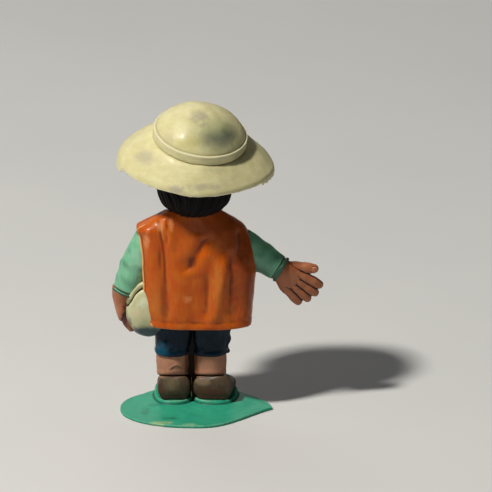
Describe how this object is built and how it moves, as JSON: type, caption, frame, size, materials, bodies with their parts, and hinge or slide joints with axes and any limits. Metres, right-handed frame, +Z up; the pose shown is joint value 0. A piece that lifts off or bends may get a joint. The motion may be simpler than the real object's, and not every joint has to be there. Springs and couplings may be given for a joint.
{
  "type": "moulded shepherd figurine",
  "caption": "Hand-painted moulded shepherd figurine in a wide sun hat and orange sheepskin vest, pouch at the left hip, right hand held out, standing on a flat leaf-shaped green base.",
  "frame": {"origin": "centre of the flat underside of the base plate", "axes": "+Z up through the hat, -Y towards the figure's front, +X towards the figure's left hand and pouch"},
  "size_m": [0.0384, 0.0248, 0.057],
  "materials": {
    "painted_plastic": "satin hand-painted coats over one solid moulding",
    "hat_paint": "satin cream paint",
    "hair_paint": "satin black paint",
    "skin_paint": "satin skin paint",
    "vest_paint": "glossy orange paint",
    "shirt_paint": "satin light green paint",
    "bag_paint": "satin cream paint",
    "breeches_paint": "glossy blue paint",
    "shoe_paint": "satin brown paint",
    "base_paint": "satin green paint"
  },
  "bodies": {
    "root": {"figurine": "painted_plastic"}
  },
  "joints": []
}
